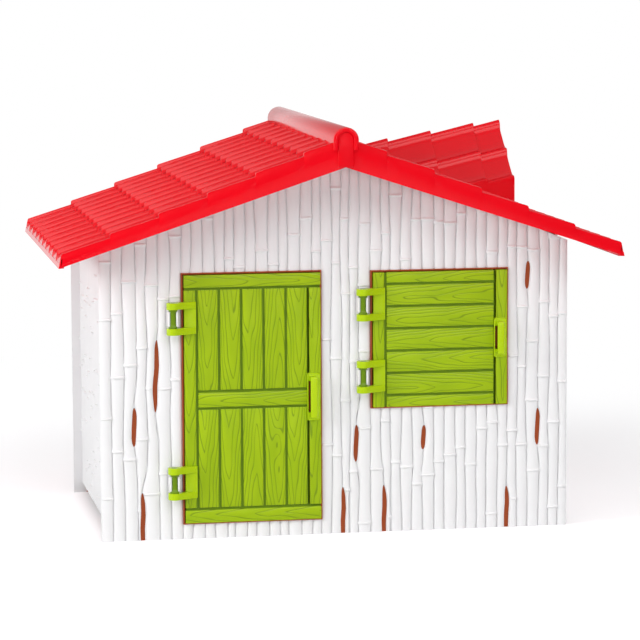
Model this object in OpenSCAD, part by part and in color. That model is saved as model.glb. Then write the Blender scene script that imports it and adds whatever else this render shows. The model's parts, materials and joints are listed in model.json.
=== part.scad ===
// Child's playhouse: cane walls with brown liners, tiled gable roof, plank door and plank shutter.
// X runs along the front wall, Y from the front to the back, Z up. The origin is on the floor,
// in the middle.

/* [Walls] */
// Width of the front and back walls
wall_w = 1280; // [1220:1:1340]
// Depth of the house over the front and back walls
wall_d = 796; // [700:1:900]
// How far a side wall sits in from the edge of the front wall
side_inset = 18; // [8:1:30]
// Gap between a side wall and the floor
side_gap = 30; // [10:1:60]
// Distance from the underside of the roof down to the top edge of the front wall
wall_drop = 30; // [20:1:60]
// Distance between two canes
cane_pitch = 28.4; // [24:0.1:34]
// How far a cane is wider than its pitch on each side
cane_lap = 1; // [0.6:0.1:2]
// Thickness of the cane skin
skin_t = 3; // [2:0.1:4]
// Thickness of the brown liner
liner_t = 4; // [3:0.1:8]
// Width of the see-through slits
slit_w = 13; // [8:0.5:18]

/* [Openings] */
// Left edge of the doorway
door_x = -420; // [-440:1:-400]
// Width of the doorway
door_w = 378; // [340:1:400]
// Height of the door sill
door_z = 42; // [30:1:80]
// Height of the doorway
door_h = 678; // [640:1:700]
// Left edge of the window
win_x = 93; // [80:1:100]
// Width of the window
win_w = 379; // [340:1:400]
// Height of the window sill
win_z = 341; // [330:1:380]
// Height of the window
win_h = 375; // [340:1:390]
// Thickness of the brown rim that lines an opening
rim_t = 3; // [2:0.1:5]
// Width of the stop lip behind the hinge side, the top and the sill
lip_w = 14; // [10:1:20]
// Width of the stop lip behind the closing side
latch_lip = 48; // [40:1:60]

/* [Roof] */
// Half of the roof's width, ridge to eave
roof_half = 751; // [720:1:800]
// Depth of the roof
roof_d = 1078; // [1000:1:1160]
// Height of the line through the foot of the tile steps, at the eave
eave_z = 771; // [760:0.5:860]
// Pitch of the roof in degrees
roof_pitch = 21.65; // [16:0.05:24]
// Length of a row of tiles, measured level
row_w = 128; // [100:1:150]
// Height of the step between two rows
row_step = 11; // [6:0.5:16]
// Thickness of the roof sheet at its thinnest
sheet_t = 6; // [4:0.5:8]
// Number of rolls across the depth of the roof
roll_count = 10; // [6:1:14]
// Width of a roll
roll_w = 30; // [15:1:45]
// Height of a roll
roll_h = 10; // [4:0.5:14]
// Height of the skirt at the eave
skirt_eave = 28; // [24:1:60]
// Height of the skirt at the ridge
skirt_ridge = 66; // [50:1:80]
// Thickness of the skirts
skirt_t = 8; // [5:0.5:12]
// How far the foot of the eave end stands out
eave_flare = 7; // [2:0.5:12]

/* [Ridge cap] */
// Half of the cap's width
cap_r = 34; // [28:0.5:44]
// Thickness of the cap
cap_t = 5; // [3:0.5:8]
// Height of the cap's straight sides over the roof
cap_side = 9.5; // [8:0.5:40]
// Width of the rim on the cap's end
cap_rim = 13; // [9:0.5:18]
// Depth of the rim on the cap's end
cap_rim_d = 14; // [11:0.5:20]
// How far the cap stands out past the roof
cap_over = 10; // [8:0.5:20]
// Thickness of an end plate
end_t = 6; // [3:0.5:7]

/* [Rear hood] */
// Right edge of the hood
hood_x = 670; // [600:1:690]
// Depth of the hood
hood_d = 196; // [120:1:240]
// Height of the hood's crest over the foot of the tile steps, at its right edge
hood_rise = 263.5; // [200:0.5:280]
// Rise of the crest towards the right in degrees
hood_tilt = 9.1; // [4:0.1:12]
// Slope of the hood's tiles towards the front in degrees
hood_slope = 38.3; // [34:0.1:50]
// Thickness of the hood's shell
hood_t = 8; // [5:0.5:12]

/* [Door and shutter] */
// Thickness of a leaf
leaf_t = 15; // [12:0.5:18]
// Thickness of a leaf's front face
face_t = 6; // [5:0.5:8]
// How far a leaf stands out in front of the canes
leaf_out = 2; // [0:0.5:4]
// Gap between a leaf and its rim
leaf_gap = 3; // [2:0.5:5]
// Width of a stile
stile_w = 34; // [28:1:42]
// Height of the door's top and bottom rails
rail_h = 37; // [30:1:50]
// Height of the door's middle rail
mid_rail_h = 46; // [36:1:60]
// Height of the middle rail over the foot of the leaf
mid_rail_z = 310; // [280:1:340]
// Distance between two planks
plank_pitch = 60.5; // [50:0.5:70]
// Width of the groove between two planks
groove_w = 4; // [2:0.5:6]
// Depth of the grooves
groove_d = 2.5; // [1:0.5:3]
// How far the planks lie back behind the stiles
plank_back = 1.5; // [0.5:0.5:2]

/* [Handles] */
// Width of a handle plate
plate_w = 34; // [28:1:36]
// Thickness of a handle plate
plate_t = 3; // [2:0.5:5]
// Height of the door's handle plate
door_plate_h = 129; // [110:1:150]
// Height of the middle of the door's handle over the sill
door_plate_z = 337; // [320:1:350]
// Height of the shutter's handle plate
win_plate_h = 107; // [90:1:120]
// Height of the middle of the shutter's handle over the sill
win_plate_z = 185; // [170:1:200]
// Width of a grab bar
bar_w = 20; // [16:1:22]
// Thickness of a grab bar
bar_t = 9; // [6:0.5:12]
// Room for the fingers behind a grab bar
finger_gap = 14; // [12:1:20]
// Width of the slot behind a grab bar
slot_w = 22; // [18:1:24]
// Height of a bar's foot
bar_foot = 14; // [10:1:18]
// Distance between a bar's end and the end of its plate
bar_inset = 8; // [5:1:12]
// Distance from a slot's left edge to its bar
bar_shift = 4; // [2:0.5:6]

/* [Hinges] */
// Distance from the edge of an opening to the pin
pin_side = 26; // [24:0.5:30]
// Distance from the canes to the pin
pin_out = 22; // [20:0.5:26]
// Radius of a hinge pin
pin_r = 9.5; // [8:0.1:10]
// Radius of a pin's collar
collar_r = 11.8; // [11:0.1:12.5]
// Height of a pin's collar
collar_h = 5; // [3:0.5:7]
// Gap between a pin and the bores of its arms
pin_fit = 0.05; // [0.02:0.01:0.1]
// Gap between a pin and its cradle
cradle_fit = 0.08; // [0.05:0.01:0.1]
// Wall of a cradle
cradle_t = 5; // [4:0.5:6]
// Angle of the cradle's open front in degrees
cradle_open = 110; // [90:5:130]
// Gap between a cradle and the collars
cradle_gap = 0.5; // [0.3:0.1:1]
// Radius of an arm's round end
arm_r = 17.5; // [15:0.5:18.5]
// Height of an arm
arm_h = 17.5; // [14:0.5:20]
// Height of a hinge bracket
bracket_h = 86; // [80:1:96]
// Thickness of a bracket's plate
bracket_t = 4; // [3:0.5:5]
// Height of the door's lower hinge over the floor
door_hinge_low = 158; // [140:1:180]
// Height of the door's upper hinge over the floor
door_hinge_high = 601; // [560:1:640]
// Height of the shutter's lower hinge over the floor
win_hinge_low = 431; // [410:1:460]
// Height of the shutter's upper hinge over the floor
win_hinge_high = 626; // [600:1:650]
// Width of a cradle's foot
foot_w = 30; // [26:1:34]
// Thickness of a cradle's foot
foot_t = 3; // [2.5:0.1:3.4]

/* [Fasteners] */
// Radius of a screw's shank
screw_r = 2.5; // [2:0.1:3]
// Radius of a screw's head
head_r = 5; // [4:0.1:5.5]
// Height of a screw's head
head_h = 2.5; // [2:0.1:3]
// Gap around a screw
screw_fit = 0.1; // [0.05:0.05:0.2]
// Width of a corner angle's flange
angle_w = 40; // [30:1:50]
// Thickness of a corner angle
angle_t = 4; // [3:0.5:6]
// Distance from the top of a corner angle up to the front wall's top edge
angle_top = 10; // [4:1:20]
// Distance from an angle's end to its first screw
angle_end = 60; // [30:1:90]
// Distance from a leaf screw to the end of its hinge bracket
leaf_screw_end = 10; // [8:1:14]
// Width of a roof bracket
roof_bracket_w = 40; // [30:1:60]
// Length of a roof bracket's legs
roof_bracket_l = 60; // [50:1:80]
// Thickness of a roof bracket
roof_bracket_t = 4; // [3:0.5:6]
// Distance of a roof bracket from the middle of the house
roof_bracket_y = 200; // [150:1:260]
// Distance from a roof bracket's corner to the screw in each leg
roof_screw_run = 42; // [30:1:44]

/* [Hidden] */
$fn = 48;

white = "#e8e4e2";
brown = "#8a3f1e";
red = "#e0081c";
green = "#9bb81c";
light_green = "#aac23c";
steel = "#b8b8b8";

// A cut runs this far past the face that it opens
past = 1;
// A foot sinks this far into what it stands on
weld = 0.5;
// Keeps a division that comes out whole from being rounded down
tiny = 0.001;

// Wall planes, from the outside in
cane_r = cane_pitch / 2 + cane_lap;
front_y = -wall_d / 2;
skin_y = front_y + cane_r;
liner_y = skin_y + liner_t;
side_x = wall_w / 2 - side_inset;
side_skin_x = side_x - cane_r;
side_liner_x = side_skin_x - liner_t;

// Roof lines
function foot_z(x) = eave_z + tan(roof_pitch) * (roof_half - x);
function under_z(x) = foot_z(x) - sheet_t;
row_count = ceil((roof_half - cap_r) / row_w);
face_tan = tan(roof_pitch) - row_step / row_w;
ridge_face_z = foot_z(roof_half - (row_count - 1) * row_w) + row_step
    + face_tan * (roof_half - (row_count - 1) * row_w);
corner_z = under_z(wall_w / 2) - wall_drop;
apex_z = under_z(0) - wall_drop;
roll_pitch = roof_d / roll_count;

// Foot of the slits that run out at the floor
out_z = -20;
// See-through slits: middle, foot and length
slits = [[-549, 255, 106], [-528, out_z, 150], [-489, 346, 196], [18, out_z, 147], [54, 194, 102],
    [131, out_z, 149], [240, 222, 68], [472, out_z, 135], [529, 654, 78], [558, 224, 103]];

// Leaf planes
leaf_y = front_y - leaf_out;
leaf_back_y = leaf_y + leaf_t;
slot_edge = 2;

// Hinge line
pin_y = front_y - pin_out;
inner_h = bracket_h - 2 * arm_h;
cradle_h = inner_h - 2 * collar_h - 2 * cradle_gap;
cradle_r = pin_r + cradle_fit + cradle_t;
// Edge that a cradle's foot keeps around a screw's head
head_edge = 2;
foot_h = inner_h + 4 * (head_r + head_edge);
// Openings with hinges: their left edges and the heights of their hinges
hinge_places = [[door_x, [door_hinge_low, door_hinge_high]], [win_x, [win_hinge_low, win_hinge_high]]];

// Extrudes an outline drawn in X and Z from y0 to y1
module along_y(y0, y1) {
    translate([0, y1, 0])
        rotate([90, 0, 0])
            linear_extrude(height = y1 - y0)
                children();
}

// Extrudes an outline drawn in Y and Z from x0 to x1
module along_x(x0, x1) {
    translate([x0, 0, 0])
        rotate([90, 0, 90])
            linear_extrude(height = x1 - x0)
                children();
}

// A box from its lowest corner to its highest
module block(low, high) {
    translate(low)
        cube([high[0] - low[0], high[1] - low[1], high[2] - low[2]]);
}

// Plan of a row of half-round canes, crowns towards -Y and open backs on y = 0
module cane_row(length) {
    count = floor((length - 2 * cane_lap) / cane_pitch + tiny);
    first = -(count - 1) / 2 * cane_pitch;
    difference() {
        union() {
            intersection() {
                union() {
                    for (i = [0 : count - 1]) {
                        translate([first + i * cane_pitch, 0])
                            circle(r = cane_r);
                    }
                }
                translate([-length / 2, -cane_r])
                    square([length, cane_r]);
            }
            translate([-length / 2, -skin_t])
                square([length, skin_t]);
        }
        for (i = [0 : count - 1]) {
            translate([first + i * cane_pitch, 0])
                circle(r = cane_r - skin_t);
        }
    }
}

// Outline of the front and back walls in X and Z
module gable(half_w, corner, apex) {
    polygon([[-half_w, 0], [half_w, 0], [half_w, corner], [0, apex], [-half_w, corner]]);
}

// The cane skin of a gable wall, crowns towards -Y
module gable_skin() {
    intersection() {
        translate([0, skin_y, 0])
            linear_extrude(height = apex_z)
                cane_row(wall_w);
        along_y(front_y - past, skin_y + past)
            gable(wall_w / 2, corner_z, apex_z);
    }
}

// The flat liner of a gable wall, which carries the roof
module gable_liner() {
    shoulder_x = side_liner_x - angle_w;
    along_y(skin_y, liner_y)
        polygon([[-side_liner_x, 0], [side_liner_x, 0], [side_liner_x, corner_z],
            [shoulder_x, under_z(shoulder_x)], [0, under_z(0)],
            [-shoulder_x, under_z(shoulder_x)], [-side_liner_x, corner_z]]);
}

// A slit with pointed ends, as an outline in X and Z
module slit_outline(s) {
    tip = slit_w;
    polygon([[s[0] - slit_w / 2, s[1] + tip], [s[0], s[1]], [s[0] + slit_w / 2, s[1] + tip],
        [s[0] + slit_w / 2, s[1] + s[2] - tip], [s[0], s[1] + s[2]],
        [s[0] - slit_w / 2, s[1] + s[2] - tip]]);
}

// Rim around an opening, standing on the liner and lining the skin
module rim(x, w, z, h) {
    along_y(front_y + cane_lap, skin_y)
        difference() {
            translate([x, z])
                square([w, h]);
            translate([x + rim_t, z + rim_t])
                square([w - 2 * rim_t, h - 2 * rim_t]);
        }
}

// Hole in the liner behind a leaf; what is left is the stop lip
module stop_hole(x, w, z, h) {
    block([x + lip_w, skin_y - past, z + lip_w],
        [x + w - latch_lip, liner_y + past, z + h - lip_w]);
}

module front_wall() {
    color(white)
        difference() {
            gable_skin();
            block([door_x, front_y - past, door_z],
                [door_x + door_w, skin_y + past, door_z + door_h]);
            block([win_x, front_y - past, win_z],
                [win_x + win_w, skin_y + past, win_z + win_h]);
            for (s = slits) {
                along_y(front_y - past, skin_y + past)
                    slit_outline(s);
            }
            clip_holes(skin_y + past);
        }
}

module front_liner() {
    color(brown)
        difference() {
            union() {
                gable_liner();
                rim(door_x, door_w, door_z, door_h);
                rim(win_x, win_w, win_z, win_h);
            }
            stop_hole(door_x, door_w, door_z, door_h);
            stop_hole(win_x, win_w, win_z, win_h);
            angle_holes();
        }
}

module back_wall() {
    color(white)
        rotate([0, 0, 180])
            gable_skin();
}

module back_liner() {
    color(brown)
        difference() {
            rotate([0, 0, 180])
                gable_liner();
            angle_holes();
        }
}

// Left wall, crowns towards -X
module side_skin() {
    translate([-side_skin_x, 0, side_gap])
        rotate([0, 0, -90])
            linear_extrude(height = under_z(side_x) - side_gap)
                cane_row(2 * -skin_y);
}

module side_liner() {
    block([-side_skin_x, skin_y, side_gap], [-side_liner_x, -skin_y, under_z(side_x)]);
}

module left_wall() {
    color(white)
        side_skin();
}

module left_liner() {
    color(brown)
        difference() {
            side_liner();
            angle_holes();
            roof_bracket_holes();
        }
}

module right_wall() {
    color(white)
        rotate([0, 0, 180])
            side_skin();
}

module right_liner() {
    color(brown)
        difference() {
            rotate([0, 0, 180])
                side_liner();
            angle_holes();
            roof_bracket_holes();
        }
}

// Corner angles and their screws
angle_z0 = side_gap;
angle_z1 = corner_z - angle_top;
angle_screw_z = [angle_z0 + angle_end, (angle_z0 + angle_z1) / 2, angle_z1 - angle_end];

module at_corners() {
    for (sx = [0, 1], sy = [0, 1]) {
        mirror([sx, 0, 0])
            mirror([0, sy, 0])
                children();
    }
}

// Places its children at each angle screw, which points along -Z into the liner
module at_angle_screws() {
    at_corners() {
        for (z = angle_screw_z) {
            translate([-side_liner_x + angle_w / 2 + angle_t, liner_y + angle_t, z])
                rotate([-90, 0, 0])
                    children();
            translate([-side_liner_x + angle_t, liner_y + angle_w / 2 + angle_t, z])
                rotate([0, 90, 0])
                    children();
        }
    }
}

// A screw with its head on z = 0 and its shank below
module screw(length) {
    cylinder(h = head_h, r = head_r);
    translate([0, 0, -length])
        cylinder(h = length, r = screw_r);
}

module screw_hole(length) {
    translate([0, 0, -length])
        cylinder(h = length + past, r = screw_r + screw_fit);
}

module angle_holes() {
    at_angle_screws()
        screw_hole(angle_t + liner_t + past);
}

module corner_angles() {
    color(brown)
        difference() {
            at_corners() {
                block([-side_liner_x, liner_y, angle_z0],
                    [-side_liner_x + angle_w, liner_y + angle_t, angle_z1]);
                block([-side_liner_x, liner_y, angle_z0],
                    [-side_liner_x + angle_t, liner_y + angle_w, angle_z1]);
            }
            angle_holes();
        }
}

module corner_screws() {
    color(steel)
        at_angle_screws()
            screw(angle_t + liner_t);
}

// Outline of the right slope in X and Z, from its tiles down to a given underside
function row_x(k) = max(0, roof_half - k * row_w);
slope_top = [for (k = [0 : row_count - 1])
    for (end = [0, 1])
        end == 0 ? [row_x(k), foot_z(row_x(k)) + row_step]
            : [row_x(k + 1), k == row_count - 1 ? ridge_face_z : foot_z(row_x(k + 1))]];

module sheet_outline() {
    polygon(concat(slope_top, [[0, under_z(0)], [roof_half, under_z(roof_half)]]));
}

module roll_outline() {
    polygon(concat([for (p = slope_top) [p[0], p[1] + roll_h]],
        [[0, under_z(0)], [roof_half, under_z(roof_half)]]));
}

module skirt_outline() {
    polygon(concat(slope_top, [[0, ridge_face_z - skirt_ridge],
        [roof_half + eave_flare, foot_z(roof_half) + row_step - skirt_eave]]));
}

// The right slope, with a sheet, rolls and skirts on three sides
module slope() {
    difference() {
        union() {
            along_y(-roof_d / 2, roof_d / 2)
                sheet_outline();
            for (i = [0 : roll_count - 1]) {
                roll_y = -roof_d / 2 + i * roll_pitch;
                along_y(roll_y, roll_y + roll_w)
                    roll_outline();
            }
            along_y(-roof_d / 2, -roof_d / 2 + skirt_t)
                skirt_outline();
            along_y(roof_d / 2 - skirt_t, roof_d / 2)
                skirt_outline();
            along_y(-roof_d / 2, roof_d / 2)
                intersection() {
                    skirt_outline();
                    translate([roof_half - skirt_t, 0])
                        square([skirt_t + eave_flare, foot_z(0)]);
                }
        }
        roof_bracket_holes();
    }
}

module roof_right() {
    color(red)
        slope();
}

module roof_left() {
    color(red)
        mirror([1, 0, 0])
            slope();
}

// Everything under the hood's tiles; grow moves its planes outwards
hood_z = foot_z(hood_x) + hood_rise;
module hood_body(grow) {
    intersection() {
        block([cap_r, roof_d / 2 - hood_d - grow, foot_z(hood_x)],
            [hood_x + grow, roof_d / 2 + grow, hood_z + roof_half]);
        translate([hood_x, roof_d / 2, hood_z])
            rotate([hood_slope, -hood_tilt, 0])
                translate([-2 * roof_half, -2 * roof_half, -2 * roof_half + grow])
                    cube([4 * roof_half, 4 * roof_half, 2 * roof_half]);
    }
}

module rear_hood() {
    color(red)
        difference() {
            hood_body(0);
            hood_body(-hood_t);
            along_y(-roof_d / 2 - past, roof_d / 2 + past)
                polygon(concat(slope_top, [[0, 0], [roof_half, 0]]));
            for (i = [0 : roll_count - 1]) {
                roll_y = -roof_d / 2 + i * roll_pitch;
                along_y(roll_y, roll_y + roll_w)
                    roll_outline();
            }
        }
}

// Ridge cap
cap_foot_z = foot_z(cap_r) + row_step;
cap_mid_z = cap_foot_z + cap_side;
cap_y = roof_d / 2 + cap_over;

module arch(r, foot) {
    translate([0, cap_mid_z])
        circle(r = r);
    translate([-r, foot])
        square([2 * r, cap_mid_z - foot]);
}

module roof_section() {
    polygon(concat(slope_top, [[0, 0], [roof_half, 0]]));
    mirror([1, 0])
        polygon(concat(slope_top, [[0, 0], [roof_half, 0]]));
}

module ridge_cap() {
    color(red)
        difference() {
            along_y(-cap_y, cap_y)
                arch(cap_r, ridge_face_z - cap_t);
            along_y(-cap_y + cap_rim_d, cap_y - cap_rim_d)
                arch(cap_r - cap_t, ridge_face_z - 2 * cap_r);
            along_y(-cap_y - past, cap_y + past)
                arch(cap_r - cap_rim, ridge_face_z - 2 * cap_r);
            along_y(-roof_d / 2, roof_d / 2)
                roof_section();
            for (sx = [0, 1], i = [0 : roll_count - 1]) {
                roll_y = -roof_d / 2 + i * roll_pitch;
                mirror([sx, 0, 0])
                    along_y(roll_y, roll_y + roll_w)
                        roll_outline();
            }
        }
}

// End plate: fills the cap's arch and hangs down over the joint of the skirts
module end_plate() {
    along_y(-roof_d / 2 - end_t, -roof_d / 2)
        arch(cap_r - cap_rim, ridge_face_z - skirt_ridge);
}

module ridge_end_front() {
    color(red)
        end_plate();
}

module ridge_end_back() {
    color(red)
        mirror([0, 1, 0])
            end_plate();
}

// Roof brackets: one leg on a side liner, one under the sheet
bracket_top = under_z(side_liner_x);
module at_roof_brackets() {
    for (sx = [0, 1], y = [-roof_bracket_y, roof_bracket_y]) {
        mirror([sx, 0, 0])
            translate([side_liner_x, y, bracket_top])
                children();
    }
}

// Places its children at the screws of each roof bracket
module at_roof_screws() {
    at_roof_brackets() {
        translate([-roof_bracket_t, 0, -roof_screw_run])
            rotate([0, -90, 0])
                children();
        rotate([0, roof_pitch, 0])
            translate([-roof_screw_run, 0, -roof_bracket_t])
                rotate([180, 0, 0])
                    children();
    }
}

module roof_bracket_holes() {
    at_roof_screws()
        screw_hole(roof_bracket_t + liner_t + screw_fit);
}

// Outline of a roof bracket in X and Z, with its outer corner on x = 0, z = 0
module roof_bracket_outline() {
    t = roof_bracket_t;
    run = roof_bracket_l * cos(roof_pitch);
    rise = roof_bracket_l * sin(roof_pitch);
    polygon([[0, 0], [0, -roof_bracket_l], [-t, -roof_bracket_l],
        [-t, t * tan(roof_pitch) - t / cos(roof_pitch)],
        [-run - t * sin(roof_pitch), rise - t * cos(roof_pitch)], [-run, rise]]);
}

module roof_brackets() {
    color(brown)
        difference() {
            at_roof_brackets()
                along_y(-roof_bracket_w / 2, roof_bracket_w / 2)
                    roof_bracket_outline();
            roof_bracket_holes();
        }
}

module roof_screws() {
    color(steel)
        at_roof_screws()
            screw(roof_bracket_t + liner_t);
}

// A leaf's blank with two pockets in its back, at x, z with the size w, h
module leaf_blank(w, h, split) {
    difference() {
        block([0, leaf_y, 0], [w, leaf_back_y, h]);
        block([stile_w, leaf_y + face_t, stile_w],
            [w - plate_w - slot_edge, leaf_back_y + past, split]);
        block([stile_w, leaf_y + face_t, split + mid_rail_h],
            [w - plate_w - slot_edge, leaf_back_y + past, h - stile_w]);
    }
}

// Field of planks: the field is cut back, then grooved along its planks
module field_cut(x0, x1, z0, z1) {
    block([x0, leaf_y - past, z0], [x1, leaf_y + plank_back, z1]);
}

door_leaf_w = door_w - 2 * (rim_t + leaf_gap);
door_leaf_h = door_h - 2 * (rim_t + leaf_gap);
door_leaf_x = door_x + rim_t + leaf_gap;
door_leaf_z = door_z + rim_t + leaf_gap;
win_leaf_w = win_w - 2 * (rim_t + leaf_gap);
win_leaf_h = win_h - 2 * (rim_t + leaf_gap);
win_leaf_x = win_x + rim_t + leaf_gap;
win_leaf_z = win_z + rim_t + leaf_gap;

// Slot through a leaf behind its grab bar, with the leaf's right edge at x
module finger_slot(x, z, h) {
    slot_h = h - 2 * (bar_inset + bar_foot);
    block([x - plate_w + slot_edge, leaf_y - plate_t - past, z - slot_h / 2],
        [x - plate_w + slot_edge + slot_w, leaf_back_y + past, z + slot_h / 2]);
}

door_right = door_leaf_x + door_leaf_w;
win_right = win_leaf_x + win_leaf_w;
door_handle_z = door_leaf_z + door_plate_z - rim_t - leaf_gap;
win_handle_z = win_leaf_z + win_plate_z - rim_t - leaf_gap;

module door_leaf() {
    field_w = door_leaf_w - 2 * stile_w;
    planks = round(field_w / plank_pitch);
    color(green)
        difference() {
            translate([door_leaf_x, 0, door_leaf_z])
                difference() {
                    leaf_blank(door_leaf_w, door_leaf_h, mid_rail_z);
                    for (field = [[rail_h, mid_rail_z], [mid_rail_z + mid_rail_h, door_leaf_h - rail_h]]) {
                        field_cut(stile_w, door_leaf_w - stile_w, field[0], field[1]);
                        for (i = [0 : planks]) {
                            groove_x = stile_w + field_w / planks * i;
                            block([groove_x - groove_w / 2, leaf_y - past, field[0]],
                                [groove_x + groove_w / 2, leaf_y + groove_d + plank_back, field[1]]);
                        }
                    }
                }
            finger_slot(door_right, door_handle_z, door_plate_h);
            leaf_screw_holes(door_leaf_x, [door_hinge_low, door_hinge_high]);
        }
}

module shutter_leaf() {
    planks = floor(win_leaf_h / plank_pitch / 2) * 2 + 1;
    color(green)
        difference() {
            translate([win_leaf_x, 0, win_leaf_z])
                difference() {
                    leaf_blank(win_leaf_w, win_leaf_h, win_leaf_h / 2 - mid_rail_h / 2);
                    field_cut(stile_w, win_leaf_w - stile_w, -past, win_leaf_h + past);
                    for (i = [1 : planks - 1]) {
                        groove_z = win_leaf_h / 2 + (i - planks / 2) * plank_pitch;
                        block([stile_w, leaf_y - past, groove_z - groove_w / 2],
                            [win_leaf_w - stile_w, leaf_y + groove_d + plank_back, groove_z + groove_w / 2]);
                    }
                }
            finger_slot(win_right, win_handle_z, win_plate_h);
            leaf_screw_holes(win_leaf_x, [win_hinge_low, win_hinge_high]);
        }
}

// Handle with its right edge at x and its middle at z: a plate and a bar on two feet
module handle(x, z, h) {
    bar_h = h - 2 * bar_inset;
    bar_x = x - plate_w + slot_edge + bar_shift;
    bar_y = leaf_y - plate_t - finger_gap - bar_t;
    difference() {
        union() {
            block([x - plate_w, leaf_y - plate_t, z - h / 2], [x, leaf_y, z + h / 2]);
            along_x(bar_x, bar_x + bar_w)
                difference() {
                    translate([bar_y, z - bar_h / 2])
                        square([finger_gap + bar_t + weld, bar_h]);
                    translate([bar_y + bar_t, z - bar_h / 2 + bar_foot])
                        square([finger_gap + past, bar_h - 2 * bar_foot]);
                }
        }
        finger_slot(x, z, h);
    }
    along_x(bar_x, bar_x + bar_w)
        translate([bar_y, z - bar_h / 2])
            square([bar_t, bar_h]);
}

module door_handle() {
    color(light_green)
        handle(door_right, door_handle_z, door_plate_h);
}

module shutter_handle() {
    color(light_green)
        handle(win_right, win_handle_z, win_plate_h);
}

// One hinge bracket with the pin's axis on x = 0, y = 0 and its middle at z = 0
module hinge_bracket() {
    plate_x = pin_side + rim_t + leaf_gap;
    plate_y = leaf_y - pin_y;
    difference() {
        union() {
            block([plate_x, plate_y - bracket_t, -bracket_h / 2],
                [plate_x + stile_w - slot_edge, plate_y, bracket_h / 2]);
            for (z = [-bracket_h / 2, bracket_h / 2 - arm_h]) {
                translate([0, 0, z])
                    linear_extrude(height = arm_h) {
                        circle(r = arm_r);
                        polygon([[0, -arm_r], [plate_x + stile_w - slot_edge, plate_y - bracket_t],
                            [plate_x + stile_w - slot_edge, plate_y], [plate_x, plate_y],
                            [plate_x - leaf_gap, arm_r], [0, arm_r]]);
                    }
            }
        }
        translate([0, 0, -bracket_h / 2 - past])
            cylinder(h = bracket_h + 2 * past, r = pin_r + pin_fit);
    }
}

module hinge_pin() {
    translate([0, 0, -bracket_h / 2])
        cylinder(h = bracket_h, r = pin_r);
    for (z = [-inner_h / 2 + pin_fit, inner_h / 2 - collar_h - pin_fit]) {
        translate([0, 0, z])
            cylinder(h = collar_h, r = collar_r);
    }
}

// Cradle on the wall: an open ring around the pin on a screwed foot
module wall_clip() {
    reach = 2 * cradle_r;
    half = cradle_open / 2;
    difference() {
        union() {
            translate([0, 0, -cradle_h / 2])
                cylinder(h = cradle_h, r = cradle_r);
            block([-cradle_r / 2, 0, -cradle_h / 2], [cradle_r / 2, pin_out, cradle_h / 2]);
        }
        translate([0, 0, -bracket_h / 2])
            cylinder(h = bracket_h, r = pin_r + cradle_fit);
        translate([0, 0, -bracket_h / 2])
            linear_extrude(height = bracket_h)
                polygon([[0, 0], [-reach * sin(half), -reach * cos(half)], [0, -reach],
                    [reach * sin(half), -reach * cos(half)]]);
        at_clip_screws()
            screw_hole(foot_t + past);
    }
    difference() {
        block([-foot_w / 2, pin_out - foot_t, -foot_h / 2], [foot_w / 2, pin_out, foot_h / 2]);
        at_clip_screws()
            countersunk_hole();
    }
}

module at_hinges(edge, heights) {
    for (z = heights) {
        translate([edge - pin_side, pin_y, z])
            children();
    }
}

// Clip screws: flush heads in the foot, shanks into the cane skin
clip_screw_z = foot_h / 2 - head_r - head_edge;
sunk_h = 1.5;

module at_clip_screws() {
    for (z = [-clip_screw_z, clip_screw_z]) {
        translate([0, pin_out - foot_t, z])
            rotate([90, 0, 0])
                children();
    }
}

module countersunk_hole() {
    translate([0, 0, -sunk_h])
        cylinder(h = sunk_h + past, r = head_r + screw_fit);
    screw_hole(foot_t + past);
}

module clip_holes(reach_y) {
    for (place = hinge_places) {
        at_hinges(place[0], place[1])
            at_clip_screws()
                screw_hole(foot_t + cane_r + past);
    }
}

module clip_screws() {
    color(white)
        for (place = hinge_places) {
            at_hinges(place[0], place[1])
                at_clip_screws() {
                    translate([0, 0, -sunk_h])
                        cylinder(h = sunk_h, r = head_r);
                    translate([0, 0, -foot_t - cane_r])
                        cylinder(h = foot_t + cane_r - sunk_h, r = screw_r);
                }
        }
}

// Leaf screws: heads on the inner face of the leaf's stile, shanks into the bracket
leaf_screw_x = stile_w / 2;
leaf_screw_z = bracket_h / 2 - leaf_screw_end;

module at_leaf_screws(leaf_x, heights) {
    for (z = heights, dz = [-leaf_screw_z, leaf_screw_z]) {
        translate([leaf_x + leaf_screw_x, leaf_back_y, z + dz])
            rotate([-90, 0, 0])
                children();
    }
}

module leaf_screw_holes(leaf_x, heights) {
    at_leaf_screws(leaf_x, heights) {
        screw_hole(leaf_t + bracket_t / 2 + screw_fit);
        translate([0, 0, -head_h])
            cylinder(h = head_h + past, r = head_r + screw_fit);
    }
}

module leaf_screws(leaf_x, heights) {
    at_leaf_screws(leaf_x, heights)
        translate([0, 0, -head_h])
            screw(leaf_t + bracket_t / 2 - head_h);
}

module hinge_brackets(edge, leaf_x, heights) {
    difference() {
        at_hinges(edge, heights)
            hinge_bracket();
        leaf_screw_holes(leaf_x, heights);
    }
}

module door_hinge_brackets() {
    color(light_green)
        hinge_brackets(door_x, door_leaf_x, [door_hinge_low, door_hinge_high]);
}

module door_hinge_pins() {
    color(green)
        at_hinges(door_x, [door_hinge_low, door_hinge_high])
            hinge_pin();
}

module door_wall_clips() {
    color(white)
        at_hinges(door_x, [door_hinge_low, door_hinge_high])
            wall_clip();
}

module door_screws() {
    color(steel)
        leaf_screws(door_leaf_x, [door_hinge_low, door_hinge_high]);
}

module shutter_hinge_brackets() {
    color(light_green)
        hinge_brackets(win_x, win_leaf_x, [win_hinge_low, win_hinge_high]);
}

module shutter_hinge_pins() {
    color(green)
        at_hinges(win_x, [win_hinge_low, win_hinge_high])
            hinge_pin();
}

module shutter_wall_clips() {
    color(white)
        at_hinges(win_x, [win_hinge_low, win_hinge_high])
            wall_clip();
}

module shutter_screws() {
    color(steel)
        leaf_screws(win_leaf_x, [win_hinge_low, win_hinge_high]);
}

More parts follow.
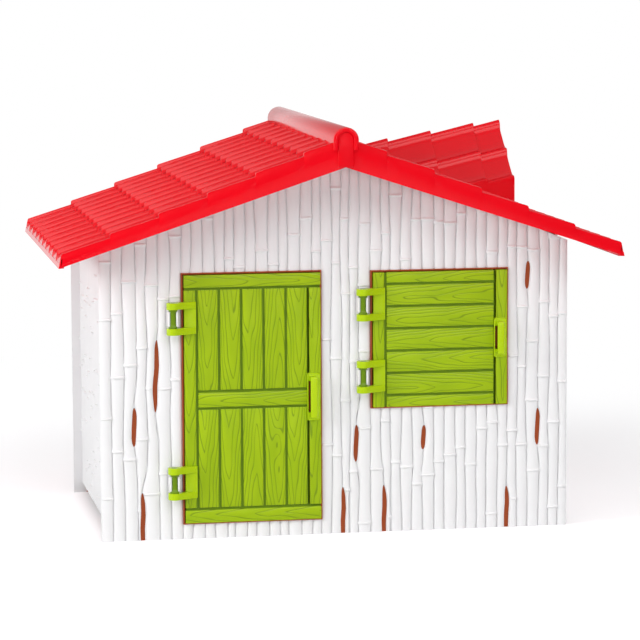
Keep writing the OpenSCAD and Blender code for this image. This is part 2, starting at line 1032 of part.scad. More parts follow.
front_wall();
front_liner();
back_wall();
back_liner();
left_wall();
left_liner();
right_wall();
right_liner();
corner_angles();
corner_screws();
roof_left();
roof_right();
rear_hood();
ridge_cap();
ridge_end_front();
ridge_end_back();
roof_brackets();
roof_screws();
door_leaf();
door_handle();
door_hinge_brackets();
door_hinge_pins();
door_wall_clips();
door_screws();
shutter_leaf();
shutter_handle();
shutter_hinge_brackets();
shutter_hinge_pins();
shutter_wall_clips();
shutter_screws();
clip_screws();
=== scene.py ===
import json
import math
import random

import bmesh
import bpy
from mathutils import Matrix, Vector


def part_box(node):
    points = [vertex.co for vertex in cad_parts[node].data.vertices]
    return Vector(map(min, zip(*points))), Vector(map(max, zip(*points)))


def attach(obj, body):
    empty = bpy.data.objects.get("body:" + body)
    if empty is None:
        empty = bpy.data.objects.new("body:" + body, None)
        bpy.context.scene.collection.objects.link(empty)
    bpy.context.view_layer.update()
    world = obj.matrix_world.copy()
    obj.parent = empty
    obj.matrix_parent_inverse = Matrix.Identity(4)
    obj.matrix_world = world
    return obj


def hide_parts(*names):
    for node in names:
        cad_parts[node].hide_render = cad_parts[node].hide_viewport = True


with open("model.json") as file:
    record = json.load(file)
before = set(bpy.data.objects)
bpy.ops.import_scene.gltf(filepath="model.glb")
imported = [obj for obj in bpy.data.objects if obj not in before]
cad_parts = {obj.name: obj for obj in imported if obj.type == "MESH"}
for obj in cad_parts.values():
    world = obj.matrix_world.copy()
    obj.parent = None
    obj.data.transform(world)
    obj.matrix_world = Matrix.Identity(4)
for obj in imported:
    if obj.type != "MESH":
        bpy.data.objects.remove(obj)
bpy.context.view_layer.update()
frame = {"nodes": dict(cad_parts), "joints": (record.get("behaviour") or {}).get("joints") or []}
print("frame loaded:", len(frame["nodes"]), "nodes")

mm = 0.001
weldGap = 0.02 * mm  # points closer than this are joined


# Linear colour of an sRGB hex text
def hexColour(text):
    channels = [int(text[i:i + 2], 16) / 255 for i in (1, 3, 5)]
    linear = [c / 12.92 if c <= 0.04045 else ((c + 0.055) / 1.055) ** 2.4 for c in channels]
    return (*linear, 1.0)


def addNode(tree, kind, settings=None, links=None):
    node = tree.nodes.new(kind)
    for name, value in (settings or {}).items():
        if isinstance(name, int) or name in node.inputs:
            node.inputs[name].default_value = value
        else:
            setattr(node, name, value)
    for name, source in (links or {}).items():
        tree.links.new(source, node.inputs[name])
    return node


# Turns a bmesh into a named piece: normals outwards, smooth faces, sharp edges past an angle
def makePiece(bm, name, material, body, nodes, sharpAngle):
    bmesh.ops.remove_doubles(bm, verts=bm.verts, dist=weldGap)
    bmesh.ops.dissolve_degenerate(bm, edges=bm.edges, dist=weldGap)
    bmesh.ops.recalc_face_normals(bm, faces=bm.faces)
    limit = math.radians(sharpAngle)
    for face in bm.faces:
        face.smooth = True
    for edge in bm.edges:
        edge.smooth = len(edge.link_faces) == 2 and edge.calc_face_angle(0) < limit
    mesh = bpy.data.meshes.new(name)
    bm.to_mesh(mesh)
    bm.free()
    piece = bpy.data.objects.new(name, mesh)
    bpy.context.scene.collection.objects.link(piece)
    mesh.materials.append(material)
    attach(piece, body)
    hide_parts(*nodes)
    return piece


# A thin shell from one grid: layer 0 is its inner side and layer 1 its outer side.
# place(i, j, layer) says where the point of column i and row j goes.
def gridShell(bm, columns, rows, place):
    made = bmesh.ops.create_grid(bm, x_segments=columns, y_segments=rows, size=1)
    inner = made["verts"]
    faces = list({face for vert in inner for face in vert.link_faces})
    lifted = bmesh.ops.extrude_face_region(bm, geom=faces, use_keep_orig=True)
    outer = [item for item in lifted["geom"] if isinstance(item, bmesh.types.BMVert)]
    for layer, verts in ((0, inner), (1, outer)):
        for vert in verts:
            i = round((vert.co.x + 1) / 2 * columns)
            j = round((vert.co.y + 1) / 2 * rows)
            vert.co = place(i, j, layer)


# A box between two corners with rounded edges
def roundBlock(bm, low, high, radius, segments=3):
    made = bmesh.ops.create_cube(bm, size=1)
    low, high = Vector(low), Vector(high)
    middle, size = (low + high) / 2, high - low
    for vert in made["verts"]:
        vert.co = middle + Vector([vert.co[k] * size[k] for k in range(3)])
    edges = list({edge for vert in made["verts"] for edge in vert.link_edges})
    if radius > 0:
        bmesh.ops.bevel(bm, geom=edges, offset=radius, offset_type="OFFSET", segments=segments,
                        profile=0.5, affect="EDGES", material=-1)


# Blow-moulded and injection-moulded HDPE: glossy skin, slight colour clouding and a fine orange peel
plasticLook = {
    "ior": 1.53,            # typical of HDPE
    "cloudSize": 0.16,      # metres between paler and deeper patches of the pigment
    "cloudRange": (0.35, 0.7),
    "peelSize": 2.6 * mm,   # ripple of the mould's skin, drawn coarser than the real 1 mm so that it shows
    "peelDepth": 0.05 * mm,
    "peelStrength": 0.5,
    "grit": 0.7 * mm,       # fine texture that breaks up the highlights
    "gritRange": (0.3, 0.7),
    "gritGloss": (-0.05, 0.07),     # how much smoother and rougher it makes the skin
}


def plastic(name, colour, deep, roughness=0.3, clouding=0.35, peel=1.0):
    look = plasticLook
    material = bpy.data.materials.new(name)
    material.use_nodes = True
    tree = material.node_tree
    shader = tree.nodes["Principled BSDF"]
    shader.inputs["IOR"].default_value = look["ior"]
    place = addNode(tree, "ShaderNodeTexCoord").outputs["Object"]
    cloud = addNode(tree, "ShaderNodeTexNoise", {
        "Scale": 1 / look["cloudSize"], "Detail": 3.0, "Roughness": 0.55}, {"Vector": place})
    low, high = look["cloudRange"]
    tint = addNode(tree, "ShaderNodeMapRange", {
        "From Min": low, "From Max": high, "To Min": 0.0, "To Max": clouding},
        {"Value": cloud.outputs["Fac"]})
    mix = addNode(tree, "ShaderNodeMix", {
        "data_type": "RGBA", 6: hexColour(colour), 7: hexColour(deep)},
        {"Factor": tint.outputs["Result"]})
    tree.links.new(mix.outputs[2], shader.inputs["Base Color"])
    grit = addNode(tree, "ShaderNodeTexNoise", {
        "Scale": 1 / look["grit"], "Detail": 2.0}, {"Vector": place})
    low, high = look["gritRange"]
    smoother, rougher = look["gritGloss"]
    gloss = addNode(tree, "ShaderNodeMapRange", {
        "From Min": low, "From Max": high, "To Min": roughness + smoother, "To Max": roughness + rougher},
        {"Value": grit.outputs["Fac"]})
    tree.links.new(gloss.outputs["Result"], shader.inputs["Roughness"])
    ripple = addNode(tree, "ShaderNodeTexNoise", {
        "Scale": 1 / look["peelSize"], "Detail": 1.0}, {"Vector": place})
    bump = addNode(tree, "ShaderNodeBump", {
        "Strength": look["peelStrength"] * peel, "Distance": look["peelDepth"]},
        {"Height": ripple.outputs["Fac"]})
    tree.links.new(bump.outputs["Normal"], shader.inputs["Normal"])
    return material


whitePlastic = plastic("white_hdpe_blow_moulded", "#F0F0F1", "#E9E8EA", roughness=0.34, peel=0.4)
brownPlastic = plastic("brown_hdpe_satin", "#A84B1E", "#9A4119", roughness=0.42)
redPlastic = plastic("red_hdpe_glossy", "#EE0217", "#E30216", roughness=0.14, peel=0.4)
limePlastic = plastic("lime_hdpe_smooth", "#B6D50C", "#ACCB07", roughness=0.24)
pinPlastic = plastic("green_nylon_pin", "#6E8F08", "#648405", roughness=0.3)


# Zinc-plated steel: pale, bluish, with the blotches of the plating
zincLook = {"dull": "#9AA0A6", "pale": "#D2D6D9", "blotch": 1.5 * mm, "roughness": (0.25, 0.45)}


def zincSteel():
    material = bpy.data.materials.new("zinc_plated_steel")
    material.use_nodes = True
    tree = material.node_tree
    shader = tree.nodes["Principled BSDF"]
    shader.inputs["Metallic"].default_value = 1.0
    place = addNode(tree, "ShaderNodeTexCoord").outputs["Object"]
    blotch = addNode(tree, "ShaderNodeTexNoise", {
        "Scale": 1 / zincLook["blotch"], "Detail": 3.0}, {"Vector": place})
    ramp = addNode(tree, "ShaderNodeValToRGB", {}, {"Fac": blotch.outputs["Fac"]})
    ramp.color_ramp.elements[0].color = hexColour(zincLook["dull"])
    ramp.color_ramp.elements[1].color = hexColour(zincLook["pale"])
    tree.links.new(ramp.outputs["Color"], shader.inputs["Base Color"])
    smoothest, roughest = zincLook["roughness"]
    rough = addNode(tree, "ShaderNodeMapRange", {"To Min": smoothest, "To Max": roughest},
                    {"Value": blotch.outputs["Fac"]})
    tree.links.new(rough.outputs["Result"], shader.inputs["Roughness"])
    return material


zinc = zincSteel()

# Green HDPE moulded with a wood grain in relief: a few long nested tips along each board
grainLook = {
    # The last colour here is painted shade: a darker green for the leaves' core, standing in for the shade in
    # the grooves between the boards.
    "green": "#A6C306", "deepGreen": "#98B703", "lineGreen": "#7E9B05", "grooveShadeGreen": "#688702",
    "tipGap": 0.095,        # distance between two tips along the board, metres
    "sideLines": 2.1,       # lines between a board's middle and its edge
    "halfBoard": 0.024,     # half the width of a board, metres
    "bend": 1.3,            # 1 draws the tips as a V, 2 as a U
    "line": 1.5 * mm,       # width of a line, drawn wider than the real 0.8 mm so that it shows
    "lineCore": 0.15,       # share of a line's width that has its full colour
    "flank": 2.2,           # width of the relief's slope, in widths of a line
    "relief": 0.5 * mm,
    "reliefStrength": 0.9,
    "gloss": (0.3, 0.42),   # roughness between the lines and in them
    "wander": 1.3,          # sideways drift, counted in lines
    "driftScale": (7.0, 30.0, 1.0),     # patches of that drift in a metre, along and across
    "driftRange": (0.3, 0.7),
    "knot": (0.042, 0.010),     # half length and half width of the one knot
    "knotPower": 0.4, "knotLines": 2.6,
    "start": (0, 20),       # least and most place of a board in the pattern, metres
    "shift": 0.012,         # how far the tips lie out of a board's middle, at most
}


# UV "grain" runs along the board in U and across it in V, both in metres, with V = 0 in its middle.
# The line pattern is divided by its own slope, which keeps every line equally wide.
def grainedPlastic(name):
    look = grainLook
    kind = "ShaderNodeMath"
    material = bpy.data.materials.new(name)
    material.use_nodes = True
    tree = material.node_tree
    shader = tree.nodes["Principled BSDF"]
    shader.inputs["IOR"].default_value = plasticLook["ior"]
    uv = addNode(tree, "ShaderNodeUVMap", {"uv_map": "grain"}).outputs["UV"]
    parts = addNode(tree, "ShaderNodeSeparateXYZ", {}, {"Vector": uv})
    stretch = addNode(tree, "ShaderNodeMapping", {"Scale": look["driftScale"]}, {"Vector": uv})
    drift = addNode(tree, "ShaderNodeTexNoise", {"Scale": 1.0, "Detail": 1.0},
                    {"Vector": stretch.outputs[0]})
    side = addNode(tree, kind, {"operation": "ABSOLUTE"}, {0: parts.outputs["Y"]})
    share = addNode(tree, kind, {"operation": "DIVIDE", 1: look["halfBoard"]}, {0: side.outputs[0]})
    curve = addNode(tree, kind, {"operation": "POWER", 1: look["bend"]}, {0: share.outputs[0]})
    across = addNode(tree, kind, {"operation": "MULTIPLY", 1: look["sideLines"]}, {0: curve.outputs[0]})
    along = addNode(tree, kind, {"operation": "MULTIPLY_ADD", 1: 1 / look["tipGap"]},
                    {0: parts.outputs["X"], 2: across.outputs[0]})
    wander = addNode(tree, kind, {"operation": "MULTIPLY_ADD", 1: 2 * look["wander"]},
                     {0: drift.outputs["Fac"], 2: along.outputs[0]})
    knotScale = tuple(1 / half for half in look["knot"]) + (0.0,)
    squeeze = addNode(tree, "ShaderNodeMapping", {"Scale": knotScale}, {"Vector": uv})
    away = addNode(tree, "ShaderNodeVectorMath", {"operation": "DOT_PRODUCT"},
                   {0: squeeze.outputs[0], 1: squeeze.outputs[0]})
    bulge = addNode(tree, kind, {"operation": "POWER", 0: look["knotPower"]},
                    {1: away.outputs["Value"]})
    rings = addNode(tree, kind, {"operation": "MULTIPLY_ADD", 1: look["knotLines"]},
                    {0: bulge.outputs[0], 2: wander.outputs[0]})
    slope = addNode(tree, kind, {"operation": "POWER", 1: look["bend"] - 1}, {0: share.outputs[0]})
    steepest = look["bend"] * look["sideLines"] / look["halfBoard"]
    steep = addNode(tree, kind, {"operation": "MULTIPLY", 1: steepest}, {0: slope.outputs[0]})
    squared = addNode(tree, kind, {"operation": "MULTIPLY_ADD", 2: look["tipGap"] ** -2},
                      {0: steep.outputs[0], 1: steep.outputs[0]})
    density = addNode(tree, kind, {"operation": "SQRT"}, {0: squared.outputs[0]})
    saw = addNode(tree, kind, {"operation": "PINGPONG", 1: 0.5}, {0: rings.outputs[0]})
    distance = addNode(tree, kind, {"operation": "DIVIDE"}, {0: saw.outputs[0], 1: density.outputs[0]})
    line = addNode(tree, "ShaderNodeMapRange", {
        "interpolation_type": "SMOOTHSTEP", "From Min": look["line"] * look["lineCore"],
        "From Max": look["line"], "To Min": 1.0, "To Max": 0.0}, {"Value": distance.outputs[0]})
    low, high = look["driftRange"]
    soft = addNode(tree, "ShaderNodeMapRange", {"From Min": low, "From Max": high},
                   {"Value": drift.outputs["Fac"]})
    shade = addNode(tree, "ShaderNodeMix", {
        "data_type": "RGBA", 6: hexColour(look["green"]), 7: hexColour(look["deepGreen"])},
        {"Factor": soft.outputs["Result"]})
    mix = addNode(tree, "ShaderNodeMix", {"data_type": "RGBA", 7: hexColour(look["lineGreen"])},
                  {"Factor": line.outputs["Result"], 6: shade.outputs[2]})
    tree.links.new(mix.outputs[2], shader.inputs["Base Color"])
    between, inside = look["gloss"]
    gloss = addNode(tree, "ShaderNodeMapRange", {"To Min": between, "To Max": inside},
                    {"Value": line.outputs["Result"]})
    tree.links.new(gloss.outputs["Result"], shader.inputs["Roughness"])
    flank = addNode(tree, "ShaderNodeMapRange", {
        "interpolation_type": "SMOOTHSTEP", "From Min": 0.0, "From Max": look["line"] * look["flank"]},
        {"Value": distance.outputs[0]})
    bump = addNode(tree, "ShaderNodeBump", {
        "Strength": look["reliefStrength"], "Distance": look["relief"]},
                   {"Height": flank.outputs["Result"]})
    tree.links.new(bump.outputs["Normal"], shader.inputs["Normal"])
    return material


greenGrain = grainedPlastic("green_hdpe_wood_grain")
# Painted shade: the leaves' core, seen in the grooves between the boards, takes this darker green for the
# shade that falls there.
grooveShadeGreen = plastic("green_hdpe_painted_groove_shade", grainLook["grooveShadeGreen"], "#567501", roughness=0.5)
print("materials ready")

# Places of the CAD parts that the pieces are built around
wallLow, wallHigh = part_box("front_wall")
sideLow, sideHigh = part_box("left_wall")
roofLow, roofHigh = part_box("roof_right")
hoodLow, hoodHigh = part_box("rear_hood")
capLow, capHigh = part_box("ridge_cap")
doorLow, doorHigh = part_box("door_leaf")
shutterLow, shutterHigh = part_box("shutter_leaf")

leafInset = 6 * mm  # rim and gap between a leaf and the edge of its opening
openings = [
    [low.x - leafInset, high.x + leafInset, low.z - leafInset, high.z + leafInset]
    for low, high in ((doorLow, doorHigh), (shutterLow, shutterHigh))
]

# Cane walls
caneLook = {
    "pitch": 28.4 * mm,
    "depth": 15.2 * mm,        # crown of a node ring over the wall's back plane
    "slim": 6.0 * mm,          # how much lower the crown is between the nodes
    "lap": 0.3 * mm,           # how far the cells of neighbouring canes run into each other
    "valley": 3.2 * mm,        # thickness of the sheet between two canes
    "apart": 1.7 * mm,         # half the width of that valley between the nodes
    "around": 10,
    "nodeGap": (0.15, 0.30),   # least and most distance between two nodes of a cane
    "ring": 8 * mm,            # height of a node's ring
    "ringOut": 3.6 * mm,       # how far it stands out
    "flare": 3.0 * mm,         # how far a cane swells sideways towards a node
    "flareRun": 26 * mm,       # how fast that swelling dies away from the node
    "ringWide": 1.1 * mm,      # how far a ring swells sideways
    "swellOut": 2.0 * mm,      # how far a swelling stands out
    "force": (0.55, 1.25),     # least and most strength of a node
    "under": 0.6,              # share of that swelling just below a node
    "uneven": 0.15,            # share of the pitch by which a groove is out of place
    "sway": 3.4 * mm,          # sideways wander of the grooves
    "swayShare": (0.5, 1.0), "swayLength": (0.2, 0.7),     # strength and wave length, metres
    "step": 34 * mm,           # distance between two levels of points
    "leastStep": 0.35 * mm,
    "crown": 0.8,              # under 1 flattens the crown
    "hold": 22 * mm,           # a groove on the edge of an opening runs straight past its corners
    "slack": 1 * mm,
    "freeRun": 60 * mm,        # and takes this far to wander freely
    "pullRun": 75 * mm,        # distance over which a groove bends towards a slit
    "wobble": (1.4 * mm, 19 * mm),     # sideways wobble of a slit, and its wave length over 2 pi
    "slitEnd": (4, 0.62),      # powers that shape the ends of a slit
    # Levels of points around a node, and inwards from the end of a slit, in millimetres
    "nodeLevels": (-18, -10, -6, -4.8, -4, -2.8, 0, 2.8, 4, 5, 10, 18, 28, 42),
    "slitLevels": (-0.1, 1.5, 4, 8, 14, 24),
}
wholeWave = 6.28
# See-through slits of the front wall: middle, foot, top and lean, in millimetres
slitPlan = [
    (-549, 255, 361, 0), (-528, -30, 130, 0), (-489, 346, 542, 4), (18, -30, 127, 0), (54, 194, 296, 0),
    (131, -30, 129, 0), (240, 222, 290, 0), (472, -30, 115, 0), (529, 654, 732, 0), (558, 224, 327, 0),
]
slitWidth = 13 * mm


def easeStep(value):
    value = max(0.0, min(1.0, value))
    return value * value * (3 - 2 * value)


def caneWall(name, length, lowZ, topZ, openings, counts, slits, turn, shift, seed, node):
    rng = random.Random(seed)
    look = caneLook
    half = length / 2
    # Grooves keep to the edges of the openings, so no cane is cut lengthwise
    fixed = sorted([-half, half] + [edge for box in openings for edge in box[:2]])
    grooves = []
    for left, right, count in zip(fixed, fixed[1:], counts):
        for k in range(count):
            jitter = 0 if k == 0 else rng.uniform(-1, 1) * look["uneven"] * look["pitch"]
            grooves.append(left + (right - left) * k / count + jitter)
    grooves.append(half)
    share, stretch = look["swayShare"], look["swayLength"]
    waves = [[(rng.uniform(*share), rng.uniform(*stretch), rng.uniform(0, wholeWave)) for _ in range(2)]
             for _ in grooves]
    inner = range(1, len(grooves) - 1)
    slitOf = {}
    for middle, foot, top, lean in slits:
        nearest = min(inner, key=lambda k: abs(grooves[k] - middle * mm))
        slitOf.setdefault(nearest, []).append((middle * mm, foot * mm, top * mm, lean * mm))

    # Place of a groove at a height, and half the width of a slit there
    def groove(k, z):
        u = grooves[k]
        if k not in inner:
            return u, 0.0
        free = 1.0
        for x0, x1, z0, z1 in openings:
            if u in (x0, x1):
                free = easeStep((max(z0 - z, z - z1) - look["hold"]) / look["freeRun"])
        u += free * look["sway"] * sum(a * math.sin(wholeWave * z / w + p) for a, w, p in waves[k]) / 2
        gap = 0.0
        for middle, foot, top, lean in slitOf.get(k, ()):
            centre, reach = (foot + top) / 2, (top - foot) / 2
            pull = free * easeStep(1 - (abs(z - centre) - reach) / look["pullRun"])
            wobble, wobbleRun = look["wobble"]
            target = middle + lean * (z - centre) / reach + wobble * math.sin((z - centre) / wobbleRun)
            u += (target - u) * pull
            if abs(z - centre) < reach:
                blunt, taper = look["slitEnd"]
                gap = slitWidth / 2 * (1 - (abs(z - centre) / reach) ** blunt) ** taper
        return u, gap

    def besideOpening(k, z):
        slack = look["slack"]
        return any(grooves[k] in (x0, x1) and z0 - slack < z < z1 + slack for x0, x1, z0, z1 in openings)

    bm = bmesh.new()
    for k in range(len(grooves) - 1):
        middle = (grooves[k] + grooves[k + 1]) / 2
        ends = [(lowZ, None)]
        for x0, x1, z0, z1 in openings:
            if x0 < middle < x1:
                ends = [(lowZ, z0), (z1, None)]
        nodes = []
        z = lowZ + rng.uniform(0.02, look["nodeGap"][1])
        roof = topZ(middle)
        while z < roof:
            nodes.append((z, rng.uniform(*look["force"])))
            z += rng.uniform(*look["nodeGap"])
        for z0, z1 in ends:
            edge = min(topZ(grooves[k]), topZ(grooves[k + 1]), roof) if z1 is None else z1
            count = max(1, round((edge - z0) / look["step"]))
            levels = [z0 + (edge - z0) * n / count for n in range(count + 1)]
            for at, _ in nodes:
                levels += [at + dz * mm for dz in look["nodeLevels"]]
            for near in (k, k + 1):
                for _, foot, slitTop, _ in slitOf.get(near, ()):
                    for dz in look["slitLevels"]:
                        levels += [foot + dz * mm, slitTop - dz * mm]
            kept = [z0]
            for level in sorted(level for level in levels if z0 < level <= edge):
                if level - kept[-1] > look["leastStep"]:
                    kept.append(level)
            kept[-1] = edge
            last = len(kept) - 1

            def place(i, j, layer):
                z = kept[j]
                left, leftGap = groove(k, z)
                right, rightGap = groove(k + 1, z)
                swell = ring = 0.0
                for at, force in nodes:
                    d = z - at
                    share = force * (1 if d > -look["ring"] / 2 else look["under"])
                    swell += share * math.exp(-abs(d) / look["flareRun"])
                    if abs(d) < look["ring"] / 2:
                        ring = (1 - (2 * d / look["ring"]) ** 2) ** 0.5
                wide = look["flare"] * swell + look["ringWide"] * ring - look["apart"]
                cell = [left - look["lap"], right + look["lap"]]
                # Past an opening, a slit or a corner of the house a cane keeps to its groove
                if k == 0 or besideOpening(k, z) or leftGap > 0:
                    cell[0] = left + leftGap
                if k == len(grooves) - 2 or besideOpening(k + 1, z) or rightGap > 0:
                    cell[1] = right - rightGap
                body = [cell[0] - wide, cell[1] + wide]
                if cell[0] >= left:
                    body[0] = max(body[0], cell[0])
                if cell[1] <= right:
                    body[1] = min(body[1], cell[1])
                crown = look["depth"] - look["slim"] + look["ringOut"] * ring + look["swellOut"] * swell
                crown = min(crown, look["depth"])
                if i in (0, look["around"]):
                    u = min(cell[0], body[0]) if i == 0 else max(cell[1], body[1])
                    out = look["valley"] * layer
                else:
                    t = ((i - 1) / (look["around"] - 2) - 0.5) * math.pi
                    u = (body[0] + body[1]) / 2 + (body[1] - body[0]) / 2 * math.sin(t)
                    rise = max(0.0, math.cos(t)) ** look["crown"]
                    out = (look["valley"] + (crown - look["valley"]) * rise) * layer
                if z1 is None and j == last:
                    z = topZ(u)
                return Vector((u, -out, z))

            gridShell(bm, look["around"], last, place)
    placed = Matrix.Translation(shift) @ Matrix.Rotation(turn, 4, "Z")
    bmesh.ops.transform(bm, matrix=placed, verts=bm.verts)
    piece = makePiece(bm, name, whitePlastic, "house", [node], sharpAngle=36)
    print(name, "made:", len(piece.data.polygons), "faces")


# The gables follow the roof's pitch, in degrees, and reach a little higher under it near the corners
gableLook = {"pitch": 21.65, "lift": 7 * mm, "liftFrom": 0.42, "liftRun": 0.14}
roofTan = math.tan(math.radians(gableLook["pitch"]))


def gableTop(u):
    u = min(abs(u), wallHigh.x)
    share = easeStep((u - gableLook["liftFrom"]) / gableLook["liftRun"])
    return wallHigh.z - roofTan * u + gableLook["lift"] * share


sideRows = round((sideHigh.y - sideLow.y) / caneLook["pitch"])
caneWall("cane_wall_front", wallHigh.x - wallLow.x, wallLow.z, gableTop, openings, (7, 13, 5, 13, 6),
         slitPlan, 0, Vector((0, wallHigh.y, 0)), 11, "front_wall")
caneWall("cane_wall_back", wallHigh.x - wallLow.x, wallLow.z, gableTop, [], (45,), [],
         math.pi, Vector((0, -wallHigh.y, 0)), 23, "back_wall")
caneWall("cane_wall_left", sideHigh.y - sideLow.y, sideLow.z, lambda u: sideHigh.z, [], (sideRows,), [],
         -math.pi / 2, Vector((sideHigh.x, 0, 0)), 37, "left_wall")
caneWall("cane_wall_right", sideHigh.y - sideLow.y, sideLow.z, lambda u: sideHigh.z, [], (sideRows,), [],
         math.pi / 2, Vector((-sideHigh.x, 0, 0)), 41, "right_wall")

# Tile roof
tileLook = {
    "row": 128 * mm, "rowStep": 11 * mm,
    "rolls": 10,
    "crest": 10 * mm,          # top of a roll over the row's plane
    "valley": 3.5 * mm,        # how far the pan between two rolls lies under it
    "crestWidth": 2 * mm,
    "bevel": (2.8 * mm, 3.8 * mm),     # run and rise of the bevel between crest and steep side
    "fall": 62 * mm,           # gentle side of a roll, towards the back
    "fillet": 15 * mm,         # hollow at the foot of the steep side
    "deepen": (1.35, 0.9),     # how deep the rolls are at the foot and at the head of a row
    "endRound": 3.5 * mm,      # rounding of a tile's lower end
    "endCut": 0.3, "endShift": 0.9,    # shape of that rounding, as shares of it
    "midShares": (0.35, 0.7),  # where a row has points between its foot and its head
    "fallShares": (0.04, 0.12, 0.28, 0.46, 0.7, 1.0), "fallPower": 2.6,
    "steepShares": (1.0, 0.62, 0.32, 0.12, 0.03), "steepRise": 0.62, "steepPower": 3,
    "steepFrom": 0.2,          # share of the hollow that moves with a row's rounding
    "joint": 0.1 * mm,         # run of the steep side itself
    "lastCrest": 5 * mm, "skirtEdge": 0.8 * mm,
    "chamfer": (3.5 * mm, 9.5 * mm),   # sloping strip along the top of the front and back skirts
    "lip": 2.6 * mm,           # upright edge over that strip
    "eaveBand": 25 * mm,       # plain band under the ends of the rolls
    "skirt": 8 * mm,
    "sheet": 6 * mm,
    "skirtEave": 28 * mm, "skirtRidge": 66 * mm,
    "underHem": 9 * mm,
    # The eave's end face, from its foot up: height, how far it flares, how deep the hollows cut in
    "eaveHeights": (0, 0.45, 0.5, 1), "eaveOut": (0, 0.7, 0.65, 0.3), "eaveDents": (0, 0, 2 * mm, 6 * mm),
}
eaveFlare = 7 * mm
roofHalf = roofHigh.x - eaveFlare
roofDepth = roofHigh.y - roofLow.y
roofFoot = roofLow.z + tileLook["skirtEave"] - tileLook["rowStep"]


def footZ(x):
    return roofFoot + roofTan * (roofHalf - x)


# Section across the rolls, from the front: distance, height over the row's plane, and whether the
# point is on the steep side. Each roll has a bevelled crest, falls gently to the back and rises
# steeply to the next.
def tileProfile(depth, count, squeeze=1.0, lastCrest=0.0):
    look = tileLook
    top, low, bevel = look["crest"], -look["valley"], look["bevel"]
    pitch = (depth - lastCrest) / count
    start, fall, fillet = (look[key] * squeeze for key in ("crestWidth", "fall", "fillet"))
    points = []
    for k in range(count):
        y = k * pitch
        points += [(y + bevel[0], top, 0), (y + bevel[0] + start, top, 0)]
        y += bevel[0] + start
        for share in look["fallShares"]:
            points.append((y + fall * share, low + (top - low) * (1 - share) ** look["fallPower"], 0))
        y = (k + 1) * pitch
        for share in look["steepShares"]:
            rise = (top - low) * look["steepRise"] * (1 - share) ** look["steepPower"]
            points.append((y - fillet * share, low + rise, share < look["steepFrom"]))
        points.append((y - look["joint"], top - bevel[1], 1))
    points.append((depth - lastCrest + bevel[0], top, 0))
    return points


def roofSlope(name, side, node):
    look = tileLook
    step, row, crest = look["rowStep"], look["row"], look["crest"]
    chamferRun, chamferRise = look["chamfer"]
    lip = look["lip"]
    front = roofDepth / 2
    # Rows of points across the depth: distance along Y, height over the row's plane, steep or not
    edge = [(0.0, None, 0), (0.0, crest - lip - chamferRise, 0), (chamferRun, crest - lip, 0),
            (chamferRun, crest - look["skirtEdge"], 0)]
    inner = tileProfile(roofDepth - 2 * chamferRun, look["rolls"], lastCrest=look["lastCrest"])
    rows = [(y - front, z, steep) for y, z, steep in edge]
    rows += [(y + chamferRun - front, z, steep) for y, z, steep in inner]
    rows += [(front - y, z, steep) for y, z, steep in reversed(edge)]
    # Columns of points from the eave to the ridge: distance from the ridge, height of the row's plane,
    # rounding of the rolls' ends, and how deep the rolls are
    columns = [(roofHalf + eaveFlare, None, 0, 1)] * 4
    tilt = roofTan - step / row
    count = math.ceil((roofHalf - capLook["half"]) / row)
    deep, shallow = look["deepen"]
    for k in range(count):
        x0 = roofHalf - k * row
        x1 = max(0.0, x0 - row)
        upper = footZ(x0) + step
        r = look["endRound"]
        cut = r * look["endCut"]
        if k:
            columns.append((x0, footZ(x0), 0, shallow))
        columns += [(x0, upper - r, r * look["endShift"], deep), (x0 - cut, upper - cut, cut, deep),
                    (x0 - r, upper + tilt * r, 0, deep)]
        for share in look["midShares"]:
            columns.append((x0 + (x1 - x0) * share, upper + tilt * (x0 - x1) * share, 0,
                            deep + (shallow - deep) * share))
    ridgeZ = upper + tilt * x0
    columns.append((0.0, ridgeZ, 0, shallow))
    reach = roofHalf + eaveFlare
    skirtTan = (ridgeZ - look["skirtRidge"] - roofLow.z) / reach
    last = len(rows) - 1

    def place(i, j, layer):
        x, plane, rounding, deepen = columns[i]
        y, lift, steep = rows[j]
        skirtZ = roofLow.z + skirtTan * (reach - x)
        if layer == 0:
            if i == 0 or j in (0, last):
                z = skirtZ
            else:
                z = footZ(min(x, roofHalf - look["skirt"])) - look["sheet"]
                z = max(skirtZ, z - look["underHem"]) if i < 4 else z
            x = min(x, roofHalf - look["skirt"])
            y = max(look["skirt"] - front, min(front - look["skirt"], y))
        elif i == 0 or j in (0, last):
            z = skirtZ
            x -= min(i, 3) * 0.7 * mm if x > roofHalf else 0
        elif i < 4:
            # The end face: a plain band, then the rolls run up it and stand proud of the hollows
            depth = (crest - lift) / (crest + look["valley"])
            z = roofLow.z + look["eaveHeights"][i] * look["eaveBand"]
            x = roofHalf + eaveFlare * look["eaveOut"][i] - look["eaveDents"][i] * depth
        else:
            z = plane + crest - (crest - lift) * (deepen if abs(y) < front - 2 * chamferRun else 1)
            y += steep * rounding
        return Vector((side * x, y, z))

    bm = bmesh.new()
    gridShell(bm, len(columns) - 1, last, place)
    piece = makePiece(bm, name, redPlastic, "house", [node], sharpAngle=31)
    print(name, "made:", len(piece.data.polygons), "faces")


# Ridge cap; its half width also says where the tile rows end
capLook = {
    "half": 34 * mm, "wall": 5 * mm, "rim": 13 * mm, "rimDepth": 14 * mm, "round": 4 * mm,
    "arcSteps": 28, "feet": 4,     # steps around the round top and down each straight side
    "lift": 1 * mm,                # gap between its foot and the foot of the CAD cap
}
roofSlope("tile_roof_left", -1, "roof_left")
roofSlope("tile_roof_right", 1, "roof_right")

# Rear hood: the same tiles in a plane that rises to the back and a little to the right
hoodLook = {
    "tilt": 9.1, "slope": 38.3, "rise": 263.5 * mm, "step": 8.2 * mm,
    "rowEnds": (590, 459, 328, 197),   # millimetres from the ridge
    "bury": 3.5 * mm,                  # how deep its foot reaches into the roof
    "wall": 8 * mm, "lastCrest": 8 * mm, "edgeDrop": 1 * mm, "rolls": 2, "squeeze": 0.75,
}


